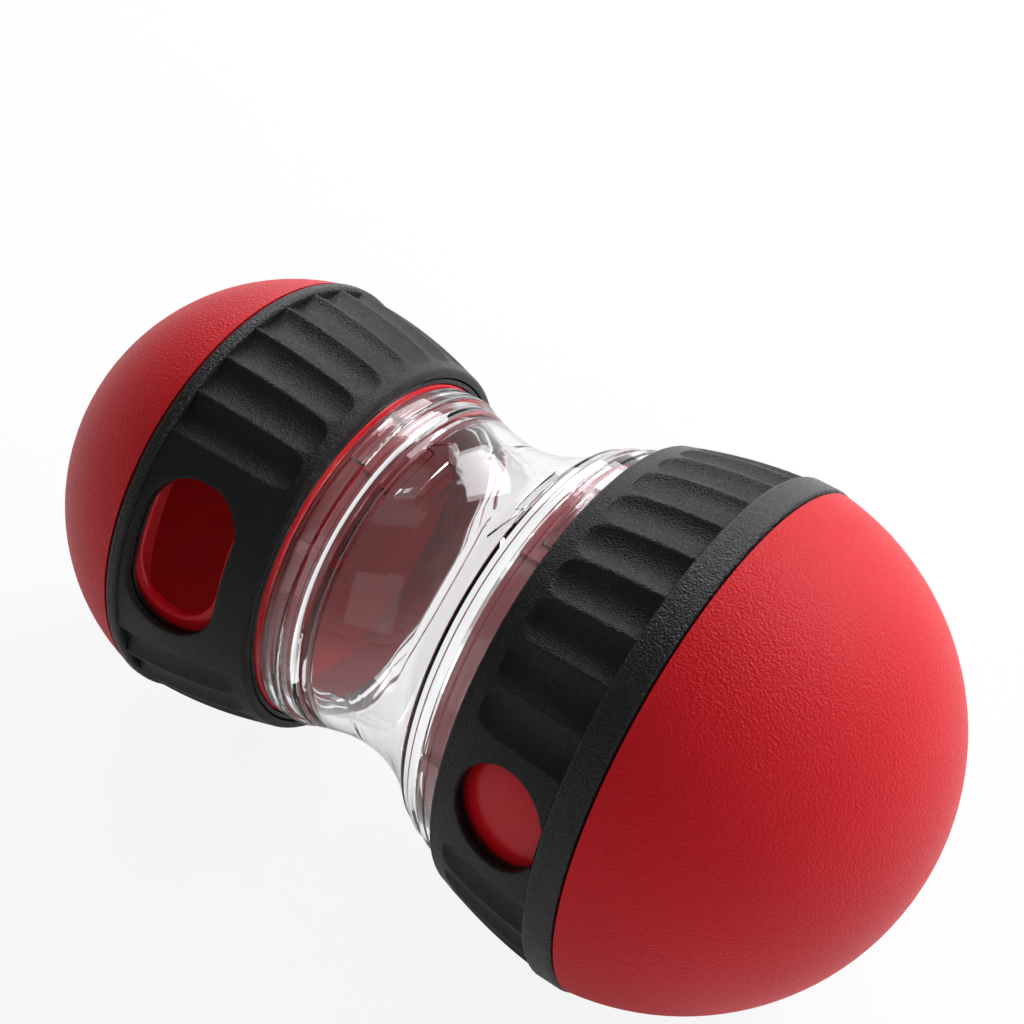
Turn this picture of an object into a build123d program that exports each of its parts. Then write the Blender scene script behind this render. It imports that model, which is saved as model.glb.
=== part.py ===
from build123d import *

import os
from math import atan2, cos, degrees, radians, sin, sqrt

# Rolling treat dispenser: a clear hourglass chamber with a cup on each end.
# Each cup is a sleeve between a dome and a lock ring; a ribbed collar turns on it.
# A window in the collar meets an outlet in the sleeve, or is shut by its wall.
# At rest the left collar stands open, a little past its outlet, and the right one shut.
# Frame, in millimetres: origin at the narrowest place of the waist, X along the
# axis, +Z up. +X is the wide end with the small round window, -X the slimmer end
# with the large window. Each end is drawn with X pointing outboard and then turned
# to its own side. In each end the radii are stacked inwards from the collar's band,
# as far as the flange, and places along X are stacked outwards from the waist.

# ---- what differs between the ends ----------------------------------------
left_band_radius = 35.65
right_band_radius = 41.3
left_neck_length = 6.9
right_neck_length = 15.0
left_dome_setback = 7.8
right_dome_setback = 6.35
left_band_width = 2.2
right_band_width = 5.0
left_flute_from_mouth = 2.0
right_flute_from_mouth = 3.4
left_rib_count = 32
right_rib_count = 36

# ---- clear chamber -------------------------------------------------------
waist_radius = 26.15
neck_arc_radius = 21.15
chamber_wall = 2.0
shoulder_rise_length = 1.5
shoulder_width = 2.7
shoulder_step = 0.9
flange_width = 3.8
flange_edge_round = 0.9
flange_wall = 2.4
socket_depth = 5.0

# ---- bayonet: lugs in the flange's socket, a lock ring with a neck on the cup ----
lug_count = 3
lug_height = 1.1
lug_thickness = 2.0
lug_width_deg = 22.0
lock_lug_width_deg = 24.0
lock_lug_thickness = 2.0
lock_neck_wall = 1.6
lock_disc_thickness = 1.8
stop_rib_width_deg = 4.0
stop_gap_deg = 0.5
unlock_turn_deg = 30.0

# ---- sleeve ---------------------------------------------------------------
sleeve_length = 24.3
sleeve_mouth_wall = 1.75
sleeve_wall = 2.2
outlet_from_mouth = 14.1
outlet_axial = 13.6
outlet_around = 23.2
outlet_corner = 6.6
ridge_to_dome = 0.9
ridge_width = 1.0
ridge_height = 0.7

# ---- dome: part of a ball -----------------------------------------------------
dome_rim_step = 0.3
dome_wall = 2.2
web_thickness = 2.0
plug_wall = 1.9
plug_length = 3.0

# ---- collar: hard shutter ring with a soft ribbed grip ---------------------
band_edge_round = 0.7
band_rise = 0.35
liner_wall = 0.6
grip_thickness = 1.49
grip_crown_to_joint = 0.15
grip_profile_radius = 76.5
grip_edge_round = 0.5
flute_radius = 6.0
flute_depth_at_mouth = 0.5
flute_depth_at_band = 1.0
turn_range_deg = 50.0
collar_stop_width_deg = 4.0
collar_stop_height = 0.7
collar_stop_length = 1.2
collar_stop_to_dome = 6.0

# ---- windows ---------------------------------------------------------------
window_margin = 0.6
window_land = 0.9
large_window_inset = 1.0
large_window_lag_deg = 3.2
round_window_diameter = 15.2
round_window_from_mouth = 11.7
large_window_elevation = 29.8
round_window_elevation = 21.5

# ---- raised arrow that shows the way to turn -------------------------------
arrow_length = 15.0
arrow_head_length = 5.0
arrow_head_width = 5.4
arrow_shaft_width = 2.4
arrow_height = 0.4
arrow_inset = 3.1

# ---- clearances ------------------------------------------------------------
running_gap = 0.3
bond_gap = 0.05
sink = 0.3
reach = 12.0
full_turn = 360.0
half_turn = 180.0
quarter_turn = 90.0

# ---- values that follow for both ends ----------------------------------------
collar_depth = grip_thickness + bond_gap + liner_wall + running_gap
neck_arc_centre = waist_radius + neck_arc_radius
neck_inner_arc = neck_arc_radius + chamber_wall
large_window_axial = outlet_axial + 2 * window_margin
large_window_around = outlet_around + 2 * window_margin
large_window_corner = outlet_corner + window_margin
flute_half_width = sqrt(flute_radius**2 - (flute_radius - flute_depth_at_band) ** 2)
scoop_reach = sqrt(flute_radius**2 - (flute_radius - flute_depth_at_mouth) ** 2)


def neck_radius_at(x, arc_radius):
    """Distance from the axis of an arc about the neck's centre."""
    return neck_arc_centre - sqrt(arc_radius**2 - x**2)


class End:
    """Places along X and radii of one end, from its band, neck and dome."""

    def __init__(self, side, band_radius, neck_length, dome_setback, band_width, flutes):
        flute_from_mouth, rib_count = flutes
        self.side = side
        self.band_radius = band_radius
        self.neck_length = neck_length
        self.rib_count = rib_count

        self.shoulder_start = neck_length + shoulder_rise_length
        self.flange_start = self.shoulder_start + shoulder_width
        self.flange_face = self.flange_start + flange_width
        self.socket_floor = self.flange_face - socket_depth
        self.arrow_position = neck_length - arrow_inset
        self.cup_mouth = self.flange_face + running_gap
        self.lock_neck_tip = self.socket_floor + running_gap
        self.lock_lug_end = self.lock_neck_tip + lock_lug_thickness
        self.lug_start = self.lock_lug_end + running_gap
        self.lug_end = self.lug_start + lug_thickness
        self.lock_disc_end = self.cup_mouth + lock_disc_thickness
        self.collar_mouth = self.cup_mouth + bond_gap
        self.outlet_position = self.cup_mouth + outlet_from_mouth
        self.round_window_position = self.cup_mouth + round_window_from_mouth
        self.dome_joint = self.cup_mouth + sleeve_length
        self.collar_end = self.dome_joint - running_gap
        self.band_start = self.collar_end - band_width
        self.flute_start = self.cup_mouth + flute_from_mouth
        self.ridge_position = self.dome_joint - ridge_to_dome
        self.stop_position = self.dome_joint - collar_stop_to_dome
        self.grip_crown_position = self.dome_joint + grip_crown_to_joint
        self.dome_centre = self.dome_joint - dome_setback

        self.dome_radius = sqrt((band_radius - dome_rim_step) ** 2 + dome_setback**2)
        self.grip_crown_radius = band_radius - band_rise
        self.sleeve_mouth_radius = self.sleeve_radius(self.cup_mouth)
        self.flange_radius = self.sleeve_mouth_radius
        self.shoulder_radius = self.flange_radius - shoulder_step
        self.socket_radius = self.flange_radius - flange_wall
        self.lug_inner_radius = self.socket_radius - lug_height
        self.lock_neck_radius = self.lug_inner_radius - running_gap
        self.lock_neck_bore = self.lock_neck_radius - lock_neck_wall
        self.lock_lug_radius = self.socket_radius - running_gap
        self.lock_disc_radius = self.sleeve_mouth_radius - sleeve_mouth_wall - bond_gap
        self.neck_end_radius = neck_radius_at(neck_length, neck_arc_radius)
        self.neck_inner_radius = neck_radius_at(neck_length, neck_inner_arc)

    def sleeve_radius(self, x):
        """Outer radius of the sleeve at x, on an arc that lies under the grip's."""
        return self.grip_radius(x) - collar_depth

    def liner_inner(self, x):
        """Inner radius of the shutter ring, a running fit on the sleeve."""
        return self.sleeve_radius(x) + running_gap

    def liner_outer(self, x):
        """Outer radius of the shutter ring where the grip covers it."""
        return self.liner_inner(x) + liner_wall

    def grip_radius(self, x):
        """Radius of the grip's rib crests at x, on one long arc."""
        offset = x - self.grip_crown_position
        return self.grip_crown_radius - grip_profile_radius + sqrt(grip_profile_radius**2 - offset**2)

    def dome_rim(self, radius, x):
        """Distance from the axis of a dome surface of the given radius at x."""
        return sqrt(radius**2 - (x - self.dome_centre) ** 2)

    def placed(self, shape):
        """A piece drawn with X outboard, turned to its own side."""
        if self.side > 0:
            return shape
        return Rot(Z=half_turn) * shape


left = End(
    -1,
    left_band_radius,
    left_neck_length,
    left_dome_setback,
    left_band_width,
    (left_flute_from_mouth, left_rib_count),
)
right = End(
    1,
    right_band_radius,
    right_neck_length,
    right_dome_setback,
    right_band_width,
    (right_flute_from_mouth, right_rib_count),
)


def turned(*edges):
    """Solid of revolution about X from a closed outline in the XY plane."""
    return revolve(make_face(edges), Axis.X)


def turned_points(*points):
    """Solid of revolution about X from straight edges."""
    return turned(*Polyline(*points, close=True).edges())


def spun(shape, angle):
    """Shape turned about the X axis."""
    return Rot(X=angle) * shape


def ring_sector(x_low, x_high, r_low, r_high, centre_deg, width_deg):
    """Block of a ring about X; centre_deg is the turn from +Z to its middle."""
    outline = Polyline((x_low, r_low), (x_high, r_low), (x_high, r_high), (x_low, r_high), close=True)
    block = revolve(make_face(outline), Axis.X, width_deg)
    return spun(block, quarter_turn + centre_deg - width_deg / 2)


def radial_prism(sketch, x, r_low, r_high, angle):
    """Sketch with its own X along the axis, pushed out along a radius."""
    prism = extrude(Pos(x, 0, r_low) * sketch, r_high - r_low)
    return spun(prism, angle)


def toward(elevation, end):
    """Turn about X that takes +Z to a direction on the -Y side at an elevation."""
    return end.side * (quarter_turn - elevation)


def lug_angles():
    """Middle of each bayonet lug."""
    return [index * full_turn / lug_count for index in range(lug_count)]


# ---- pieces ----------------------------------------------------------------
def chamber_half_outline(end):
    """Outer and inner edges of one half of the chamber wall, as two lists."""
    top = flange_edge_round
    step = min(top, shoulder_step / 2)
    rise = end.shoulder_start
    shelf = end.flange_start
    face = end.flange_face
    neck_tip = (end.neck_length, end.neck_end_radius)
    neck_inner_tip = (end.neck_length, end.neck_inner_radius)
    outer = [
        RadiusArc((0, waist_radius), neck_tip, -neck_arc_radius),
        Line(neck_tip, (rise, end.shoulder_radius - top)),
        RadiusArc((rise, end.shoulder_radius - top), (rise + top, end.shoulder_radius), top),
        Line((rise + top, end.shoulder_radius), (shelf, end.shoulder_radius)),
        Line((shelf, end.shoulder_radius), (shelf, end.flange_radius - step)),
        RadiusArc((shelf, end.flange_radius - step), (shelf + step, end.flange_radius), step),
        Line((shelf + step, end.flange_radius), (face - top, end.flange_radius)),
        RadiusArc((face - top, end.flange_radius), (face, end.flange_radius - top), top),
        Line((face, end.flange_radius - top), (face, end.socket_radius)),
    ]
    inner = [
        Line((face, end.socket_radius), (end.socket_floor, end.socket_radius)),
        Line((end.socket_floor, end.socket_radius), (end.socket_floor, end.lock_neck_bore)),
        Line((end.socket_floor, end.lock_neck_bore), neck_inner_tip),
        RadiusArc(neck_inner_tip, (0, waist_radius - chamber_wall), neck_inner_arc),
    ]
    return outer, inner


def turn_arrow(end):
    """Raised arrow on the neck, pointing the way the cup turns to open."""
    half = arrow_length / 2
    neck_of_head = half - arrow_head_length
    shaft = arrow_shaft_width / 2
    head = arrow_head_width / 2
    outline = Polyline(
        (-shaft, half),
        (shaft, half),
        (shaft, -neck_of_head),
        (head, -neck_of_head),
        (0, -half),
        (-head, -neck_of_head),
        (-shaft, -neck_of_head),
        close=True,
    )
    prism = radial_prism(make_face(outline), end.arrow_position, waist_radius, end.flange_radius, 0)
    outer_arc = neck_arc_radius - arrow_height
    inner_arc = neck_arc_radius + sink
    low = end.arrow_position - arrow_head_width
    high = end.neck_length + arrow_head_width / 2
    low_top = (low, neck_radius_at(low, outer_arc))
    high_top = (high, neck_radius_at(high, outer_arc))
    low_root = (low, neck_radius_at(low, inner_arc))
    high_root = (high, neck_radius_at(high, inner_arc))
    skin = turned(
        RadiusArc(low_top, high_top, -outer_arc),
        Line(high_top, high_root),
        RadiusArc(high_root, low_root, inner_arc),
        Line(low_root, low_top),
    )
    return prism & skin


def chamber_half(end):
    """Half of the clear moulding: waist, flange with its socket and lugs, an arrow."""
    outer, inner = chamber_half_outline(end)
    closing = Line((0, waist_radius - chamber_wall), (0, waist_radius))
    half = turned(*outer, *inner, closing)
    half += turn_arrow(end)
    for angle in lug_angles():
        half += ring_sector(
            end.lug_start,
            end.lug_end,
            end.lug_inner_radius,
            end.socket_radius + sink,
            angle,
            lug_width_deg,
        )
    return end.placed(half)


def lock_ring(end):
    """Ring bonded in the sleeve's mouth: a disc, and a neck with lugs and turning stops."""
    ring = turned_points(
        (end.lock_neck_tip, end.lock_neck_bore),
        (end.lock_disc_end, end.lock_neck_bore),
        (end.lock_disc_end, end.lock_disc_radius),
        (end.cup_mouth, end.lock_disc_radius),
        (end.cup_mouth, end.lock_neck_radius),
        (end.lock_neck_tip, end.lock_neck_radius),
    )
    rib_offset = lug_width_deg / 2 + stop_gap_deg + stop_rib_width_deg / 2
    root = end.lock_neck_radius - sink
    tip = end.lock_lug_radius
    for angle in lug_angles():
        ring += ring_sector(end.lock_neck_tip, end.lock_lug_end, root, tip, angle, lock_lug_width_deg)
        for rib_angle in (angle + rib_offset, angle - rib_offset - unlock_turn_deg):
            ring += ring_sector(end.lock_neck_tip, end.lug_end, root, tip, rib_angle, stop_rib_width_deg)
    return ring


def sleeve(end, outlet_angle, stop_angle):
    """Sleeve with its outlet, a ridge that holds the collar and a stop for its turn."""
    seat_end = end.lock_disc_end + bond_gap
    bore = end.sleeve_mouth_radius - sleeve_mouth_wall
    joint_radius = end.sleeve_radius(end.dome_joint)
    inner_low = (seat_end, end.sleeve_radius(seat_end) - sleeve_wall)
    inner_high = (end.dome_joint, joint_radius - sleeve_wall)
    outer_low = (end.cup_mouth, end.sleeve_mouth_radius)
    outer_high = (end.dome_joint, joint_radius)
    body = turned(
        *Polyline(outer_low, (end.cup_mouth, bore), (seat_end, bore), inner_low).edges(),
        RadiusArc(inner_low, inner_high, grip_profile_radius),
        Line(inner_high, outer_high),
        RadiusArc(outer_high, outer_low, -grip_profile_radius),
    )
    ridge_low = end.ridge_position - ridge_width / 2
    ridge_high = end.ridge_position + ridge_width / 2
    ridge_root = end.sleeve_radius(ridge_low) - sink
    ridge_top = end.sleeve_radius(end.ridge_position) + ridge_height
    body += turned_points(
        (ridge_low, ridge_root),
        (ridge_high, ridge_root),
        (ridge_high, ridge_top),
        (ridge_low, ridge_top),
    )
    stop_low = end.stop_position - collar_stop_length / 2
    body += ring_sector(
        stop_low,
        stop_low + collar_stop_length,
        end.sleeve_radius(stop_low) - sink,
        end.sleeve_radius(end.stop_position) + collar_stop_height,
        stop_angle,
        collar_stop_width_deg,
    )
    outlet = RectangleRounded(outlet_axial, outlet_around, outlet_corner)
    body -= radial_prism(outlet, end.outlet_position, bore - reach, bore + reach, outlet_angle)
    return body


def dome(end):
    """Hollow dome with a web that meets the sleeve and a plug that centres in it."""
    inner_radius = end.dome_radius - dome_wall
    web_back = end.dome_joint + web_thickness
    plug_outer = end.sleeve_radius(end.dome_joint - plug_length) - sleeve_wall - bond_gap
    plug_inner = plug_outer - plug_wall
    plug_start = end.dome_joint - plug_length
    tip = end.dome_centre + end.dome_radius
    inner_tip = end.dome_centre + inner_radius
    halfway = radians(quarter_turn / 2)
    outer_mid = (end.dome_centre + end.dome_radius * cos(halfway), end.dome_radius * sin(halfway))
    inner_mid = (end.dome_centre + inner_radius * cos(halfway), inner_radius * sin(halfway))
    rim = (end.dome_joint, end.dome_rim(end.dome_radius, end.dome_joint))
    inner_rim = (web_back, end.dome_rim(inner_radius, web_back))
    return turned(
        ThreePointArc(rim, outer_mid, (tip, 0)),
        Line((tip, 0), (inner_tip, 0)),
        ThreePointArc((inner_tip, 0), inner_mid, inner_rim),
        *Polyline(
            inner_rim,
            (web_back, plug_inner),
            (plug_start, plug_inner),
            (plug_start, plug_outer),
            (end.dome_joint, plug_outer),
            rim,
        ).edges(),
    )


def window_cutter(end, window, position, angle):
    """Prism that cuts a window through the collar."""
    low = end.liner_inner(end.collar_mouth) - reach
    return radial_prism(window, position, low, end.band_radius + reach, angle)


def shutter_ring(end, slot_angle):
    """Hard ring that turns on the sleeve: liner, band, step for the ridge and stop slot."""
    blunt = band_edge_round
    low = end.band_start
    high = end.collar_end
    mouth = end.collar_mouth
    step = end.ridge_position - ridge_width / 2 - running_gap
    step_radius = end.sleeve_radius(end.ridge_position) + ridge_height + running_gap
    top_high = (high, end.band_radius - blunt)
    inner_high = (step, end.liner_inner(step))
    inner_low = (mouth, end.liner_inner(mouth))
    outer_low = (mouth, end.liner_outer(mouth))
    outer_high = (low, end.liner_outer(low))
    ring = turned(
        *Polyline(top_high, (high, step_radius), (step, step_radius), inner_high).edges(),
        RadiusArc(inner_high, inner_low, -grip_profile_radius),
        Line(inner_low, outer_low),
        RadiusArc(outer_low, outer_high, grip_profile_radius),
        Line(outer_high, (low, end.band_radius - blunt)),
        RadiusArc((low, end.band_radius - blunt), (low + blunt, end.band_radius), blunt),
        Line((low + blunt, end.band_radius), (high - blunt, end.band_radius)),
        RadiusArc((high - blunt, end.band_radius), top_high, blunt),
    )
    slot_low = end.stop_position - collar_stop_length / 2 - running_gap
    ring -= ring_sector(
        slot_low,
        slot_low + collar_stop_length + 2 * running_gap,
        end.liner_inner(slot_low) - sink,
        end.liner_outer(end.stop_position) + sink,
        slot_angle,
        turn_range_deg + collar_stop_width_deg + 2 * stop_gap_deg,
    )
    return ring


def flute(end):
    """Round bar with a ball end that cuts one flute, from its scoop to the band."""
    start = end.flute_start + scoop_reach
    start_radius = end.grip_radius(start) - flute_depth_at_mouth
    end_radius = end.grip_radius(end.band_start) - flute_depth_at_band
    run = end.band_start - start
    tilt = degrees(atan2(end_radius - start_radius, run))
    bar = Pos(run, 0, 0) * Rot(Y=quarter_turn) * Cylinder(flute_radius, 2 * run)
    return Pos(start, 0, start_radius + flute_radius) * Rot(Y=-tilt) * (bar + Sphere(flute_radius))


def grip(end, window_angle, window_around):
    """Soft ribbed overmould on the shutter ring, smooth around its window."""
    blunt = grip_edge_round
    edge = end.band_start - bond_gap
    mouth = end.collar_mouth
    mouth_top = end.grip_radius(mouth + blunt)
    inner_low = (mouth, end.liner_outer(mouth) + bond_gap)
    inner_high = (edge, end.liner_outer(edge) + bond_gap)
    outer_low = (mouth + blunt, mouth_top)
    outer_high = (edge, end.grip_radius(edge))
    body = turned(
        Line(outer_high, inner_high),
        RadiusArc(inner_high, inner_low, -grip_profile_radius),
        Line(inner_low, (mouth, mouth_top - blunt)),
        RadiusArc((mouth, mouth_top - blunt), outer_low, blunt),
        RadiusArc(outer_low, outer_high, grip_profile_radius),
    )
    cutter = flute(end)
    clear_of_window = window_around / 2 + window_land + flute_half_width
    for index in range(end.rib_count):
        turn = index * full_turn / end.rib_count
        distance = end.grip_crown_radius * radians(min(turn, full_turn - turn))
        if distance > clear_of_window:
            body -= spun(cutter, window_angle + turn)
    return body


def collar(end, window, position, window_angle, slot_angle):
    """Shutter ring and grip of one end, with the same window through both."""
    cutter = window_cutter(end, window, position, window_angle)
    around = window.bounding_box().size.Y
    return shutter_ring(end, slot_angle) - cutter, grip(end, window_angle, around) - cutter


def add_end(name, end, outlet_angle, window_angle, window, position):
    """Make the five pieces of one end; outlet and window line up when the end is open."""
    stop_angle = outlet_angle + half_turn
    slot_angle = stop_angle + end.side * turn_range_deg / 2
    ring, soft = collar(end, window, position, window_angle, slot_angle)
    pieces[name + "_dome"] = end.placed(dome(end))
    pieces[name + "_sleeve"] = end.placed(sleeve(end, outlet_angle, stop_angle))
    pieces[name + "_lock_ring"] = end.placed(lock_ring(end))
    pieces[name + "_shutter_ring"] = end.placed(ring)
    pieces[name + "_grip"] = end.placed(soft)


pieces = {"clear_chamber": chamber_half(left) + chamber_half(right)}

large_window = RectangleRounded(large_window_axial, large_window_around, large_window_corner)
large_window_angle = toward(large_window_elevation, left)
open_outlet_angle = toward(large_window_elevation + large_window_lag_deg, left)
position = left.outlet_position - large_window_inset
add_end("left", left, open_outlet_angle, large_window_angle, large_window, position)

round_window = Circle(round_window_diameter / 2)
round_window_angle = toward(round_window_elevation, right)
closed_outlet_angle = round_window_angle - turn_range_deg
position = right.round_window_position
add_end("right", right, closed_outlet_angle, round_window_angle, round_window, position)

os.makedirs("parts", exist_ok=True)
for node, piece in pieces.items():
    piece.label = node
    export_step(piece, "parts/" + node + ".step")
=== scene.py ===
"""Looks of the rolling treat dispenser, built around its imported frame."""

import math

import bmesh
import bpy
import numpy as np
from mathutils import Matrix, Vector


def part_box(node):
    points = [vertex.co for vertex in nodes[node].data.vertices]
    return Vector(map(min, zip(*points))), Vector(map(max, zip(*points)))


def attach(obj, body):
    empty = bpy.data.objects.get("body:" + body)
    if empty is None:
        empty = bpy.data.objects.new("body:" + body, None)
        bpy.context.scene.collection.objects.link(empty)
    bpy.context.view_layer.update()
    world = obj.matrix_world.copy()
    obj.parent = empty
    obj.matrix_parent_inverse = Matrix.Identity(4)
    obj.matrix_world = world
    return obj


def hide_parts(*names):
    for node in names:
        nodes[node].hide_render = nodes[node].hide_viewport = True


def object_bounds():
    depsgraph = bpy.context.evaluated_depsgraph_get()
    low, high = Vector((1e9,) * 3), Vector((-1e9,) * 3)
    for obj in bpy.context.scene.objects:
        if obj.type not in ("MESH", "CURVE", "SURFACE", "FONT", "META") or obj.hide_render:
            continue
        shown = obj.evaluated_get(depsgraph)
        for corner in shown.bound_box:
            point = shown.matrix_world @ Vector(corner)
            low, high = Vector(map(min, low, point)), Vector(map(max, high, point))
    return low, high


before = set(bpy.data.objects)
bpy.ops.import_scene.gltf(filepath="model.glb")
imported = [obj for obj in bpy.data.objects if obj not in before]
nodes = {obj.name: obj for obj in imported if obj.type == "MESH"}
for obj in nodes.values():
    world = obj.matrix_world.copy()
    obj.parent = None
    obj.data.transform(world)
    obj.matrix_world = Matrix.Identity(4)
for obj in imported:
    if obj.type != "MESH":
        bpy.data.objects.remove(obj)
cad_low, cad_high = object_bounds()

# ---- sizes, in millimetres and degrees -----------------------------------------
MM = 0.001
QUARTER_TURN = math.pi / 2
SIDES = {"left": -1, "right": 1}

# Openings: (length along X, length around, corner radius)
LARGE_WINDOW = (14.8, 24.4, 7.2)
ROUND_WINDOW = (15.2, 15.2, 7.6)
OUTLET = (13.6, 23.2, 6.6)
WINDOW = {"left": LARGE_WINDOW, "right": ROUND_WINDOW}
WINDOW_ELEVATION = {"left": 29.8, "right": 21.5}
WINDOW_FROM_MOUTH = {"left": 13.05, "right": 11.65}
WINDOW_LIP = {"left": 0.65, "right": 0.4}
OUTLET_ELEVATION = {"left": 33.0, "right": 71.5}
OUTLET_FROM_MOUTH = 14.1
OUTLET_LIP = 0.8

# Long arc of the collar, from the shutter ring's box
PROFILE_RADIUS = 76.5
CROWN_UNDER_BAND = 0.35
CROWN_PAST_COLLAR = 0.45

SLEEVE_LENGTH = 24.3
SLEEVE_UNDER_GRIP = 2.44
SLEEVE_WALL = 2.2
SLEEVE_MOUTH_WALL = 1.75
SLEEVE_EDGE = 0.35
SEAT_LENGTH = 1.85
RIDGE_FROM_END = (1.4, 0.4)
RIDGE_HEIGHT = 0.7

GRIP_THICKNESS = 1.49
GRIP_MOUTH_ROUND = 0.9
RIB_COUNT = {"left": 32, "right": 36}
FLUTE_RADIUS = 6.0
FLUTE_DEPTH = {"left": (0.9, 1.12), "right": (0.95, 1.15)}
FLUTE_FROM_MOUTH = {"left": 1.9, "right": 3.3}
FLUTES_LEFT_OUT = {"left": 2, "right": 1}
SCOOP_LENGTH = 3.4
CREST_BLEND = 0.12
LAND_FADE = 1.2
FLUTE_PITCH_SHARE = (0.16, 0.455)

# ---- fineness of the meshes ------------------------------------------------------
# Distance or radius that stands for no opening and no flute
FAR_OUTSIDE = 99.0
# An opening only reaches turns whose cosine is above this
FRONT_COSINE = 0.3
# Turns up to which the skins lie straight over each other, and where that has faded out
SKINS_MATCH_TO = 30.0
SKINS_PART_AT = 60.0
# A lip drops by a hair less than its radius
LIP_DROP_SHARE = 0.999
LIP_RINGS = 7
EDGE_RINGS = 5
OUTLINE_STEPS = 3
MERGE_DISTANCE = 1e-7
SHARP_DEGREES = 38.0
SLEEVE_RINGS = 46
SLEEVE_COLUMNS = 288
# Half the width of the slope at a step in the sleeve
STEP_HALF_WIDTH = 0.02
MOUTH_RINGS = 5
SCOOP_RINGS = 9
FLUTE_RINGS = 24
# Columns of the grid, as shares of a flute's half width and of the crest beside it
FLUTE_SHARES = (-1.0, -0.86, -0.68, -0.46, -0.23, 0.0, 0.23, 0.46, 0.68, 0.86)
CREST_SHARES = (0.0, 0.2, 0.5, 0.8)
LEAST_MOUTH_WALL = 0.02


def box_mm(node):
    """Lowest and highest corner of a frame node, in millimetres."""
    low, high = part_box(node)
    return [v / MM for v in low], [v / MM for v in high]


def reach_along_x(node):
    """Places along X, from the waist, where a node of one end starts and stops."""
    low, high = box_mm(node)
    return sorted((abs(low[0]), abs(high[0])))


def across(values, columns):
    """One value a row, repeated over the columns of a grid."""
    return np.repeat(values[:, None], columns, axis=1)


# ---- outlines of the openings, as signed distances --------------------------------
def signed_distance(outline, x, t):
    """Distance of (x, t) outside a rounded rectangle centred on the origin, and its gradient."""
    axial, around, corner = outline
    qx = np.abs(x) - (axial / 2 - corner)
    qt = np.abs(t) - (around / 2 - corner)
    ox = np.maximum(qx, 0.0)
    ot = np.maximum(qt, 0.0)
    out = np.hypot(ox, ot)
    value = out + np.minimum(np.maximum(qx, qt), 0.0) - corner
    safe = np.maximum(out, 1e-9)
    gx = np.where(out > 0, ox / safe, (qx > qt) * 1.0) * np.sign(x)
    gt = np.where(out > 0, ot / safe, (qx <= qt) * 1.0) * np.sign(t)
    return value, gx, gt


def distance_over(outline, centre_x, xs, radii, turns):
    """Signed distance from an opening at each point of a shell; the far side is far outside."""
    place_x = across(xs - centre_x, turns.shape[1])
    value, _, _ = signed_distance(outline, place_x, radii * np.sin(turns))
    return np.where(np.cos(turns) > FRONT_COSINE, value, FAR_OUTSIDE)


def turns_beneath(turns, smooth, inner):
    """Turns of the inner skin, which lie straight under the outer ones near the opening."""
    under = np.arcsin(np.clip(smooth[:, None] * np.sin(turns) / inner[:, None], -1, 1))
    share = (SKINS_PART_AT - np.degrees(np.abs(turns))) / (SKINS_PART_AT - SKINS_MATCH_TO)
    return turns + np.clip(share, 0.0, 1.0) * (under - turns)


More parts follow.
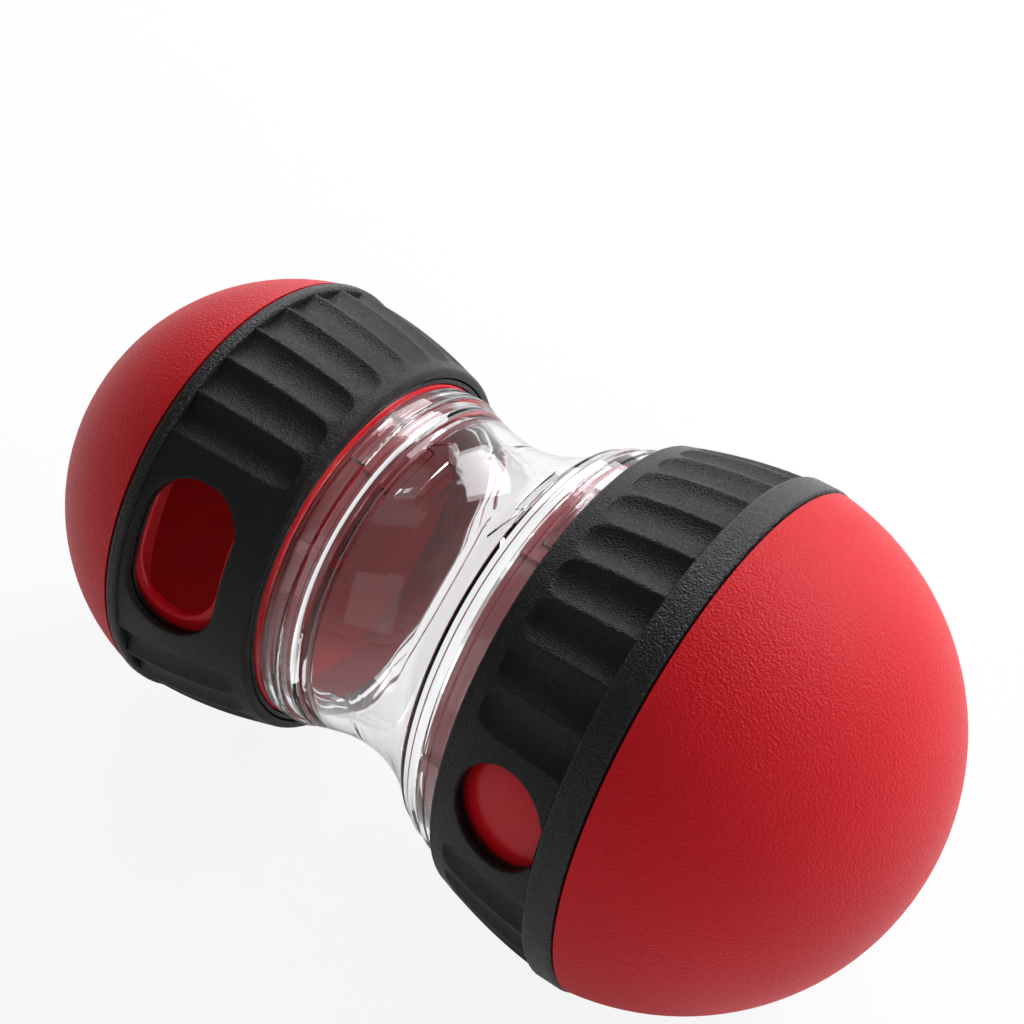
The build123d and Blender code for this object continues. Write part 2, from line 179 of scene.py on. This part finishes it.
# ---- a shell of revolution with one opening ----------------------------------------
class WindowedShell:
    """A thick shell about X with one rounded opening through it.

    Places are (x, turn), where turn is measured about X from the opening's middle.
    """

    def __init__(self, side, elevation, centre_x, outline, lip):
        self.side = side
        self.centre_x = centre_x
        self.outline = outline
        self.lip = lip
        angle = math.radians(elevation)
        self.out = np.array([0.0, -math.cos(angle), math.sin(angle)])
        self.up = np.array([0.0, math.sin(angle), math.cos(angle)])
        self.points = []
        self.faces = []
        self.cuts = {}

    def add_point(self, x, t, height):
        """Add a point at x, at t across the opening's axis and at a height along it."""
        along = np.array([self.side * x, 0.0, 0.0])
        self.points.append(along + t * self.up + height * self.out)
        return len(self.points) - 1

    def add_grid(self, xs, radii, turns):
        """Grid of points; radii and turns have a row for each x. Gives their numbers."""
        first = len(self.points)
        grid = np.zeros((*turns.shape, 3))
        grid[..., 0] = xs[:, None] * self.side
        grid = grid + (radii * np.sin(turns))[..., None] * self.up
        grid = grid + (radii * np.cos(turns))[..., None] * self.out
        self.points.extend(grid.reshape(-1, 3))
        return first + np.arange(turns.size).reshape(turns.shape)

    def build(self, xs, turns, outer, inner, mouth_cap, far_cap, smooth):
        """Outer and inner skins, the two end caps and the opening's lip.

        The radii in outer may be fluted; smooth has the plain radius at each x.
        """
        rows, columns = turns.shape
        outer_ids = self.add_grid(xs, outer, turns)
        wide = outer * np.sin(turns)
        value = distance_over(self.outline, self.centre_x, xs, outer, turns) - self.lip
        inner_turns = turns_beneath(turns, smooth, inner)
        inner_ids = self.add_grid(xs, across(inner, columns), inner_turns)
        self.surface = (xs, smooth, inner)
        for row in range(rows - 1):
            for column in range(columns):
                after = (column + 1) % columns
                corners = [(row, column), (row, after), (row + 1, after), (row + 1, column)]
                outside = [value[corner] > 0 for corner in corners]
                if all(outside):
                    self.faces.append([outer_ids[corner] for corner in corners])
                    self.faces.append([inner_ids[corner] for corner in reversed(corners)])
                elif any(outside):
                    self.cut_cell(corners, outside, value, xs, wide, outer_ids, inner_ids)
        self.cap(mouth_cap, turns[0], outer_ids[0], inner_ids[0], False)
        self.cap(far_cap, turns[-1], outer_ids[-1], inner_ids[-1], True)

    def cut_cell(self, corners, outside, value, xs, wide, outer_ids, inner_ids):
        """Keep the part of a cell that lies outside the lip, and join the lip's two chains."""
        outer_face, inner_face = [], []
        chains = {}
        for index in range(4):
            here, after = corners[index], corners[(index + 1) % 4]
            if outside[index]:
                outer_face.append(outer_ids[here])
                inner_face.append(inner_ids[here])
            if outside[index] == outside[(index + 1) % 4]:
                continue
            key = tuple(sorted((here, after)))
            if key not in self.cuts:
                self.cuts[key] = self.lip_chain(key, value, xs, wide)
            chain = self.cuts[key]
            outer_face.append(chain[0])
            inner_face.append(chain[-1])
            chains.setdefault(bool(outside[index]), chain)
        self.faces.append(outer_face)
        self.faces.append(inner_face[::-1])
        leaving, entering = chains[True], chains[False]
        for step in range(len(leaving) - 1):
            self.faces.append(
                [entering[step], leaving[step], leaving[step + 1], entering[step + 1]]
            )

    def lip_chain(self, key, value, xs, wide):
        """Points over the lip and down the wall, where the edge of a cell meets the lip."""
        a, b = key
        share = value[a] / (value[a] - value[b])
        x = xs[a[0]] + share * (xs[b[0]] - xs[a[0]]) - self.centre_x
        t = wide[a] + share * (wide[b] - wide[a])
        for _ in range(OUTLINE_STEPS):
            distance, gx, gt = signed_distance(self.outline, np.float64(x), np.float64(t))
            x = x - (distance - self.lip) * gx
            t = t - (distance - self.lip) * gt
        _, gx, gt = signed_distance(self.outline, np.float64(x), np.float64(t))
        all_x, outer, inner = self.surface
        bends = np.linspace(0.0, QUARTER_TURN, LIP_RINGS)
        half_chains = [(bend, outer, -1) for bend in bends]
        half_chains += [(bend, inner, 1) for bend in bends[::-1][1:]]
        chain = []
        for bend, skin, way in half_chains:
            inward = self.lip * math.sin(bend)
            drop = self.lip * (1 - math.cos(bend)) * LIP_DROP_SHARE
            px = x - gx * inward
            pt = t - gt * inward
            radius = np.interp(px + self.centre_x, all_x, skin)
            height = math.sqrt(radius**2 - pt**2) + way * drop
            chain.append(self.add_point(px + self.centre_x, pt, height))
        return chain

    def cap(self, profile, turns, outer_ring, inner_ring, flip):
        """Join the ends of the two skins over a few rings of (x, radius)."""
        columns = len(turns)
        rings = [outer_ring]
        for x, radius in profile:
            row = self.add_grid(np.array([x]), np.full((1, columns), radius), turns[None, :])
            rings.append(row[0])
        rings.append(inner_ring)
        for low, high in zip(rings, rings[1:]):
            for column in range(columns):
                after = (column + 1) % columns
                face = [low[column], low[after], high[after], high[column]]
                self.faces.append(face if flip else face[::-1])

    def make_piece(self, name):
        """Blender object of what was built: outward normals, smooth apart from sharp edges."""
        data = bpy.data.meshes.new(name)
        places = np.array(self.points) * MM
        data.from_pydata(places.tolist(), [], [[int(i) for i in face] for face in self.faces])
        data.validate()
        shape = bmesh.new()
        shape.from_mesh(data)
        bmesh.ops.remove_doubles(shape, verts=shape.verts, dist=MERGE_DISTANCE)
        bmesh.ops.recalc_face_normals(shape, faces=shape.faces)
        shape.to_mesh(data)
        shape.free()
        data.polygons.foreach_set("use_smooth", [True] * len(data.polygons))
        data.set_sharp_from_angle(angle=math.radians(SHARP_DEGREES))
        piece = bpy.data.objects.new(name, data)
        bpy.context.scene.collection.objects.link(piece)
        return piece


def collar_arc(side_name):
    """Function that gives the radius of the grip's long arc at a place along X."""
    _, high = box_mm(side_name + "_shutter_ring")
    _, collar_end = reach_along_x(side_name + "_shutter_ring")
    crown = high[2] - CROWN_UNDER_BAND
    crown_x = collar_end + CROWN_PAST_COLLAR
    centre = crown - PROFILE_RADIUS
    return lambda x: centre + np.sqrt(PROFILE_RADIUS**2 - (x - crown_x) ** 2)


# ---- sleeve -------------------------------------------------------------------------
def rounded_end(x, outer, inner, way):
    """Rings that round both edges of an end face; way is +1 at the far end."""
    rings = []
    bends = np.linspace(0.0, QUARTER_TURN, EDGE_RINGS)
    edges = [(bend, outer, -1) for bend in bends[1:]]
    edges += [(bend, inner, 1) for bend in bends[::-1][:-1]]
    for bend, radius, towards_wall in edges:
        back = SLEEVE_EDGE * (1 - math.sin(bend))
        drop = SLEEVE_EDGE * (1 - math.cos(bend))
        rings.append((x - way * back, radius + towards_wall * drop))
    return rings


def make_sleeve(side_name):
    """Glossy sleeve, parallel to the grip above it, with its ridge and a soft-edged outlet."""
    mouth, _ = reach_along_x(side_name + "_sleeve")
    end = mouth + SLEEVE_LENGTH
    seat = mouth + SEAT_LENGTH
    ridge_low = end - RIDGE_FROM_END[0]
    ridge_high = end - RIDGE_FROM_END[1]
    base = np.linspace(mouth + SLEEVE_EDGE, end - SLEEVE_EDGE, SLEEVE_RINGS)
    half = STEP_HALF_WIDTH
    steps = [x + step for x in (seat, ridge_low, ridge_high) for step in (-half, half)]
    xs = np.array(sorted([*base, *steps]))
    plain = collar_arc(side_name)(xs) - SLEEVE_UNDER_GRIP
    outer = plain + RIDGE_HEIGHT * ((xs > ridge_low) & (xs < ridge_high))
    inner = np.where(xs < seat, plain[0] - SLEEVE_MOUTH_WALL, plain - SLEEVE_WALL)
    around = np.linspace(-math.pi, math.pi, SLEEVE_COLUMNS, endpoint=False)
    turns = np.repeat(around[None, :], len(xs), axis=0)
    shell = WindowedShell(
        SIDES[side_name], OUTLET_ELEVATION[side_name], mouth + OUTLET_FROM_MOUTH, OUTLET, OUTLET_LIP
    )
    mouth_cap = rounded_end(mouth, outer[0], inner[0], -1)
    far_cap = rounded_end(end, outer[-1], inner[-1], 1)
    shell.build(xs, turns, across(outer, SLEEVE_COLUMNS), inner, mouth_cap, far_cap, plain)
    piece = shell.make_piece(side_name + "_sleeve_skin")
    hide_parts(side_name + "_sleeve")
    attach(piece, side_name + "_cup")
    return piece


# ---- grip ----------------------------------------------------------------------------
def smooth_min(a, b, blend):
    """The lesser of a and b, with a soft change from one to the other."""
    near = np.maximum(blend - np.abs(a - b), 0.0) / blend
    return np.minimum(a, b) - near**2 * blend / 4


def grip_places(side_name, mouth, end):
    """Places along X for the grip's rings, closest where the flutes start."""
    scoop_start = mouth + FLUTE_FROM_MOUTH[side_name]
    bends = np.linspace(0, QUARTER_TURN, SCOOP_RINGS)
    scoop = scoop_start + SCOOP_LENGTH * (1 - np.cos(bends))
    start = np.linspace(mouth + GRIP_MOUTH_ROUND, scoop_start, MOUTH_RINGS)[:-1]
    rest = np.linspace(scoop[-1], end, FLUTE_RINGS)[1:]
    return np.concatenate([start, scoop, rest])


def flute_depth(side_name, x, mouth, end):
    """Depth of the flutes along the collar: a round scoop, then a slow fall to the band."""
    start = mouth + FLUTE_FROM_MOUTH[side_name]
    shallow, deep = FLUTE_DEPTH[side_name]
    run = np.clip((x - start) / (end - start), 0.0, 1.0)
    scoop = np.clip((x - start) / SCOOP_LENGTH, 0.0, 1.0)
    return (shallow + (deep - shallow) * run) * np.sqrt(1 - (1 - scoop) ** 2)


def flute_turns(plain, depth, pitch, rib_count):
    """Turns of the grid's columns, which follow the edges of the flutes from ring to ring."""
    half_width = np.sqrt(np.maximum(2 * FLUTE_RADIUS * depth - depth**2, 0.0)) / plain
    least, most = FLUTE_PITCH_SHARE
    half_width = np.clip(half_width, pitch * least, pitch * most)
    turns = []
    for width in half_width:
        in_flute = width * np.array(FLUTE_SHARES)
        on_crest = width + (pitch - 2 * width) * np.array(CREST_SHARES)
        one = np.concatenate([in_flute, on_crest])
        places = [one + k * pitch for k in range(-rib_count // 2, rib_count // 2)]
        turns.append(np.concatenate(places))
    return np.array(turns)


def fluted_radius(base, plain, depth, local):
    """Radius with round flutes cut into it; local is the turn from the nearest flute."""
    cut_centre = (plain - depth + FLUTE_RADIUS)[:, None]
    side_step = cut_centre * np.sin(local)
    reach = np.sqrt(np.maximum(FLUTE_RADIUS**2 - side_step**2, 0.0))
    cut = cut_centre * np.cos(local) - reach
    cut = np.where(np.abs(side_step) < FLUTE_RADIUS, cut, FAR_OUTSIDE)
    return smooth_min(base, cut, CREST_BLEND)


def flute_share(side_name, distance, which):
    """How much of a flute is cut: all of it away from the window, none on its smooth land."""
    share = np.clip((distance - WINDOW_LIP[side_name]) / LAND_FADE, 0.0, 1.0)
    share = share * share * (3 - 2 * share)
    return np.where(np.abs(which) <= FLUTES_LEFT_OUT[side_name], 0.0, share)


def grip_mouth(mouth, outer, inner):
    """Rings that round the grip's mouth and close it."""
    rings = []
    for bend in np.linspace(0.0, QUARTER_TURN, LIP_RINGS)[1:]:
        back = GRIP_MOUTH_ROUND * (1 - math.sin(bend))
        drop = GRIP_MOUTH_ROUND * (1 - math.cos(bend))
        rings.append((mouth + back, max(outer - drop, inner + LEAST_MOUTH_WALL)))
    return rings + [(mouth, inner)]


def make_grip(side_name):
    """Soft ribbed grip: concave flutes, a smooth land round the window and a round mouth."""
    mouth, end = reach_along_x(side_name + "_grip")
    xs = grip_places(side_name, mouth, end)
    plain = collar_arc(side_name)(xs)
    inner = plain - GRIP_THICKNESS
    depth = flute_depth(side_name, xs, mouth, end)
    rib_count = RIB_COUNT[side_name]
    pitch = 2 * math.pi / rib_count
    turns = flute_turns(plain, depth, pitch, rib_count)
    which = np.round(turns / pitch)
    base = across(plain, turns.shape[1])
    fluted = fluted_radius(base, plain, depth, turns - which * pitch)
    outline = WINDOW[side_name]
    centre_x = mouth + WINDOW_FROM_MOUTH[side_name]
    distance = distance_over(outline, centre_x, xs, base, turns)
    outer = base + (fluted - base) * flute_share(side_name, distance, which)
    shell = WindowedShell(
        SIDES[side_name], WINDOW_ELEVATION[side_name], centre_x, outline, WINDOW_LIP[side_name]
    )
    mouth_cap = grip_mouth(mouth, plain[0], inner[0])
    shell.build(xs, turns, outer, inner, mouth_cap, [], plain)
    piece = shell.make_piece(side_name + "_grip_skin")
    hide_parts(side_name + "_grip")
    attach(piece, side_name + "_collar")
    return piece


# ---- materials -------------------------------------------------------------------------
WHITE = (1, 1, 1, 1)
CLOUD_DETAIL = 3.0
CLOUD_RANGE = (0.3, 0.7)
FINE_GRAIN_SHARE = 0.35
CLEAR_COLOUR = (0.965, 0.968, 0.975, 1)
CLEAR_ROUGHNESS = 0.025
CLEAR_IOR = 1.49
CLEAR_SHADOW = (0.62, 0.625, 0.63, 1)


def node_maker(tree):
    """Function that adds a node to a tree and sets its attributes or its named inputs."""

    def make(kind, **values):
        node = tree.nodes.new(kind)
        for key, value in values.items():
            if hasattr(node, key):
                setattr(node, key, value)
            else:
                node.inputs[key.replace("_", " ")].default_value = value
        return node

    return make


def new_material(name):
    """Empty node material with a Principled shader, and a maker of further nodes."""
    material = bpy.data.materials.new(name)
    material.use_nodes = True
    tree = material.node_tree
    return material, tree, tree.nodes["Principled BSDF"], node_maker(tree)


def clouded_colour(tree, make, shader, low, high, scale):
    """Slow, slight change of colour over the surface."""
    place = make("ShaderNodeTexCoord")
    noise = make("ShaderNodeTexNoise", Scale=scale, Detail=CLOUD_DETAIL)
    ramp = make("ShaderNodeValToRGB")
    for element, position, colour in zip(ramp.color_ramp.elements, CLOUD_RANGE, (low, high)):
        element.position = position
        element.color = (*colour, 1)
    tree.links.new(place.outputs["Object"], noise.inputs["Vector"])
    tree.links.new(noise.outputs["Fac"], ramp.inputs["Fac"])
    tree.links.new(ramp.outputs["Color"], shader.inputs["Base Color"])


def grain_bump(tree, make, shader, scale, fine_scale, strength, distance):
    """Fine moulded grain: two sizes of noise, as a bump on the shader. Gives the larger one."""
    place = make("ShaderNodeTexCoord")
    coarse = make("ShaderNodeTexNoise", Scale=scale, Detail=1.5, Roughness=0.45, Distortion=0.35)
    fine = make("ShaderNodeTexNoise", Scale=fine_scale, Detail=2.0, Roughness=0.6)
    total = make("ShaderNodeMath", operation="MULTIPLY_ADD")
    total.inputs[1].default_value = FINE_GRAIN_SHARE
    bump = make("ShaderNodeBump", Strength=strength, Distance=distance)
    links = tree.links
    links.new(place.outputs["Object"], coarse.inputs["Vector"])
    links.new(place.outputs["Object"], fine.inputs["Vector"])
    links.new(fine.outputs["Fac"], total.inputs[0])
    links.new(coarse.outputs["Fac"], total.inputs[2])
    links.new(total.outputs[0], bump.inputs["Height"])
    links.new(bump.outputs["Normal"], shader.inputs["Normal"])
    return coarse


def moved_roughness(tree, make, shader, noise, low, high):
    """Roughness that follows the grain."""
    least, most = CLOUD_RANGE
    spread = make("ShaderNodeMapRange", From_Min=least, From_Max=most, To_Min=low, To_Max=high)
    tree.links.new(noise.outputs["Fac"], spread.inputs["Value"])
    tree.links.new(spread.outputs["Result"], shader.inputs["Roughness"])


def moulded(name, colours, cloud_scale, grain, roughness, specular):
    """Moulded plastic or rubber.

    The grain is (scale, fine scale, strength, distance); scales are cells per metre.
    """
    material, tree, shader, make = new_material(name)
    clouded_colour(tree, make, shader, *colours, cloud_scale)
    noise = grain_bump(tree, make, shader, *grain)
    moved_roughness(tree, make, shader, noise, *roughness)
    shader.inputs["Specular IOR Level"].default_value = specular
    return material


def clear_plastic():
    """Clear moulding: bends and mirrors light, and lets lamp light through."""
    material, tree, shader, make = new_material("clear_moulded_plastic")
    shader.inputs["Base Color"].default_value = CLEAR_COLOUR
    shader.inputs["Roughness"].default_value = CLEAR_ROUGHNESS
    shader.inputs["IOR"].default_value = CLEAR_IOR
    shader.inputs["Transmission Weight"].default_value = 1.0
    path = make("ShaderNodeLightPath")
    through = make("ShaderNodeBsdfTransparent", Color=CLEAR_SHADOW)
    mix = make("ShaderNodeMixShader")
    output = tree.nodes["Material Output"]
    tree.links.new(path.outputs["Is Shadow Ray"], mix.inputs[0])
    tree.links.new(shader.outputs[0], mix.inputs[1])
    tree.links.new(through.outputs[0], mix.inputs[2])
    tree.links.new(mix.outputs[0], output.inputs["Surface"])
    return material


def make_finishes():
    """The materials, by what they are for."""
    return {
        "clear": clear_plastic(),
        "shell": moulded(
            "red_satin_shell",
            colours=((0.60, 0.007, 0.013), (0.66, 0.009, 0.017)),
            cloud_scale=30.0,
            grain=(2500.0, 5600.0, 0.9, 0.00022),
            roughness=(0.38, 0.50),
            specular=0.21,
        ),
        "gloss": moulded(
            "red_gloss_plastic",
            colours=((0.60, 0.006, 0.012), (0.66, 0.008, 0.016)),
            cloud_scale=25.0,
            grain=(90.0, 900.0, 0.06, 0.0002),
            roughness=(0.18, 0.28),
            specular=0.25,
        ),
        # Painted shade: the lock rings are the same red plastic as the sleeves, painted a dark wine
        # red to stand in for the shade they sit in behind the clear flange.
        "painted_shade_gloss": moulded(
            "red_gloss_painted_shade",
            colours=((0.17, 0.010, 0.014), (0.22, 0.013, 0.017)),
            cloud_scale=25.0,
            grain=(90.0, 900.0, 0.06, 0.0002),
            roughness=(0.20, 0.30),
            specular=0.5,
        ),
        "hard": moulded(
            "black_grained_plastic",
            colours=((0.011, 0.0113, 0.0113), (0.015, 0.0153, 0.0153)),
            cloud_scale=40.0,
            grain=(2800.0, 6000.0, 1.0, 0.00025),
            roughness=(0.24, 0.42),
            specular=0.36,
        ),
        "grip": moulded(
            "black_soft_grip",
            colours=((0.0095, 0.0098, 0.0098), (0.013, 0.0133, 0.0133)),
            cloud_scale=40.0,
            grain=(3600.0, 7500.0, 1.0, 0.00020),
            roughness=(0.24, 0.42),
            specular=0.25,
        ),
    }


def paint(piece, material):
    """Give every material slot of a piece the same material."""
    if not piece.data.materials:
        piece.data.materials.append(material)
        return
    for index in range(len(piece.data.materials)):
        piece.data.materials[index] = material


def make_object():
    """Paint the frame's nodes, and make and paint the pieces that replace some of them."""
    finishes = make_finishes()
    paint(nodes["clear_chamber"], finishes["clear"])
    for side_name in SIDES:
        paint(nodes[side_name + "_dome"], finishes["shell"])
        # The lock rings take the darker red with painted shade.
        paint(nodes[side_name + "_lock_ring"], finishes["painted_shade_gloss"])
        paint(nodes[side_name + "_shutter_ring"], finishes["hard"])
        paint(make_sleeve(side_name), finishes["gloss"])
        paint(make_grip(side_name), finishes["grip"])


# ---- floor, world, lamps and camera --------------------------------------------------------
FLOOR_SIZE = 3.0
FLOOR_COLOUR = (0.90, 0.90, 0.90, 1)
FLOOR_ROUGHNESS = 0.9
SEEN_WHITE = 0.88
MIRRORED_WHITE = 0.1
WORLD_LIGHT = 0.10
SKY_DIM_FROM = 0.0
SKY_DIM_TO = 0.35
SKY_LOW = 0.5
SKY_OVERHEAD = 0.10
LAMP_DISTANCE = 0.9
COOL_KEY = (0.95, 0.94, 1.0)
COOL_RIM = (0.97, 0.96, 1.0)
CAMERA_PLACE = (0.12692, -0.16270, 0.25010)
CAMERA_AZIMUTH = 35.52
CAMERA_ELEVATION = 48.17
CAMERA_ROLL = 0.64
CAMERA_LENS = 73.83
SENSOR_WIDTH = 36.0
CLIP_RANGE = (0.01, 50.0)


def seen_or_bent(tree, make, path):
    """1 for camera rays and for rays that went through something clear."""
    seen = make("ShaderNodeMath", operation="ADD", use_clamp=True)
    tree.links.new(path.outputs["Is Camera Ray"], seen.inputs[0])
    tree.links.new(path.outputs["Is Transmission Ray"], seen.inputs[1])
    return seen


def white_in_view(tree, make, lit):
    """Mix of a lit shader and plain white; mirrored rays see less of the white."""
    path = make("ShaderNodeLightPath")
    seen = seen_or_bent(tree, make, path)
    mirrored = make("ShaderNodeMath", operation="MULTIPLY")
    mirrored.inputs[1].default_value = MIRRORED_WHITE
    share = make("ShaderNodeMath", operation="MULTIPLY_ADD")
    share.inputs[1].default_value = SEEN_WHITE
    glow = make("ShaderNodeEmission")
    mix = make("ShaderNodeMixShader")
    tree.links.new(path.outputs["Is Glossy Ray"], mirrored.inputs[0])
    tree.links.new(seen.outputs[0], share.inputs[0])
    tree.links.new(mirrored.outputs[0], share.inputs[2])
    tree.links.new(share.outputs[0], mix.inputs[0])
    tree.links.new(lit, mix.inputs[1])
    tree.links.new(glow.outputs[0], mix.inputs[2])
    return mix


def make_floor():
    """Pale floor under the object, nearly white where it is seen, with the object's shadow."""
    half = FLOOR_SIZE / 2
    height = cad_low[2]
    data = bpy.data.meshes.new("floor")
    signs = ((-1, -1), (1, -1), (1, 1), (-1, 1))
    corners = [(x * half, y * half, height) for x, y in signs]
    data.from_pydata(corners, [], [(0, 1, 2, 3)])
    floor = bpy.data.objects.new("floor", data)
    bpy.context.scene.collection.objects.link(floor)
    material, tree, shader, make = new_material("pale_floor")
    shader.inputs["Base Color"].default_value = FLOOR_COLOUR
    shader.inputs["Roughness"].default_value = FLOOR_ROUGHNESS
    mix = white_in_view(tree, make, shader.outputs[0])
    tree.links.new(mix.outputs[0], tree.nodes["Material Output"].inputs["Surface"])
    data.materials.append(material)


def mirrored_sky(tree, make):
    """Background for mirrored rays: lighter near the horizon, dim overhead as in a studio."""
    place = make("ShaderNodeTexCoord")
    parts = make("ShaderNodeSeparateXYZ")
    ramp = make(
        "ShaderNodeMapRange",
        From_Min=SKY_DIM_FROM,
        From_Max=SKY_DIM_TO,
        To_Min=SKY_LOW,
        To_Max=SKY_OVERHEAD,
    )
    sky = make("ShaderNodeBackground", Color=WHITE)
    tree.links.new(place.outputs["Generated"], parts.inputs[0])
    tree.links.new(parts.outputs["Z"], ramp.inputs["Value"])
    tree.links.new(ramp.outputs["Result"], sky.inputs["Strength"])
    return sky


def make_world():
    """Soft light all round; plain white where the camera or bent rays see it."""
    world = bpy.data.worlds.new("studio")
    bpy.context.scene.world = world
    world.use_nodes = True
    tree = world.node_tree
    make = node_maker(tree)
    soft = tree.nodes["Background"]
    soft.inputs["Color"].default_value = WHITE
    soft.inputs["Strength"].default_value = WORLD_LIGHT
    white = make("ShaderNodeBackground", Color=WHITE)
    path = make("ShaderNodeLightPath")
    seen = seen_or_bent(tree, make, path)
    sky = mirrored_sky(tree, make)
    mirrored = make("ShaderNodeMixShader")
    mix = make("ShaderNodeMixShader")
    tree.links.new(path.outputs["Is Glossy Ray"], mirrored.inputs[0])
    tree.links.new(soft.outputs[0], mirrored.inputs[1])
    tree.links.new(sky.outputs[0], mirrored.inputs[2])
    tree.links.new(seen.outputs[0], mix.inputs[0])
    tree.links.new(mirrored.outputs[0], mix.inputs[1])
    tree.links.new(white.outputs[0], mix.inputs[2])
    tree.links.new(mix.outputs[0], tree.nodes["World Output"].inputs["Surface"])


def add_lamp(name, toward, size, watts, colour=(1, 1, 1), mirrored=False):
    """Soft rectangular lamp that points at the object; a fill lamp isn't mirrored in it."""
    lamp = bpy.data.lights.new(name, "AREA")
    lamp.shape = "RECTANGLE"
    lamp.size, lamp.size_y = size
    lamp.energy = watts
    lamp.color = colour
    holder = bpy.data.objects.new(name, lamp)
    way = Vector(toward).normalized()
    holder.location = way * LAMP_DISTANCE
    holder.rotation_mode = "QUATERNION"
    holder.rotation_quaternion = (-way).to_track_quat("-Z", "Y")
    holder.visible_glossy = mirrored
    bpy.context.scene.collection.objects.link(holder)


def make_lamps():
    """Key from behind on the right, a rim from behind on the left, and weak fill lamps."""
    key_way = (0.355, 0.762, 0.539)
    rim_way = (-0.55, 0.80, 0.45)
    add_lamp("key", key_way, (0.40, 0.35), 7.6, COOL_KEY, mirrored=True)
    add_lamp("behind_left", rim_way, (0.50, 0.50), 4.1, COOL_RIM, mirrored=True)
    add_lamp("top_soft", (0.05, 0.10, 1.0), (0.70, 0.70), 1.0)
    add_lamp("side_right", (1.0, 0.15, 0.35), (0.50, 0.60), 2.1)
    add_lamp("side_left", (-1.0, 0.0, 0.40), (0.50, 0.60), 0.2)
    add_lamp("front_right", (0.70, -0.70, 0.45), (0.60, 0.60), 0.3)
    add_lamp("front_left", (-0.45, -0.90, 0.45), (0.60, 0.60), 0.9)


def make_camera():
    """Camera at the photographed view of the object."""
    azimuth = math.radians(CAMERA_AZIMUTH)
    elevation = math.radians(CAMERA_ELEVATION)
    roll = math.radians(CAMERA_ROLL)
    back = Vector((
        math.sin(azimuth) * math.cos(elevation),
        -math.cos(azimuth) * math.cos(elevation),
        math.sin(elevation),
    ))
    level_right = Vector((math.cos(azimuth), math.sin(azimuth), 0.0))
    level_up = back.cross(level_right)
    right = level_right * math.cos(roll) + level_up * math.sin(roll)
    up = level_up * math.cos(roll) - level_right * math.sin(roll)
    camera = bpy.data.cameras.new("camera")
    camera.sensor_width = SENSOR_WIDTH
    camera.lens = CAMERA_LENS
    camera.clip_start, camera.clip_end = CLIP_RANGE
    holder = bpy.data.objects.new("camera", camera)
    holder.rotation_mode = "QUATERNION"
    holder.rotation_quaternion = Matrix((right, up, back)).transposed().to_quaternion()
    holder.location = CAMERA_PLACE
    bpy.context.scene.collection.objects.link(holder)
    bpy.context.scene.camera = holder


make_object()
make_floor()
make_world()
make_lamps()
make_camera()
bpy.context.scene.view_settings.view_transform = "Standard"
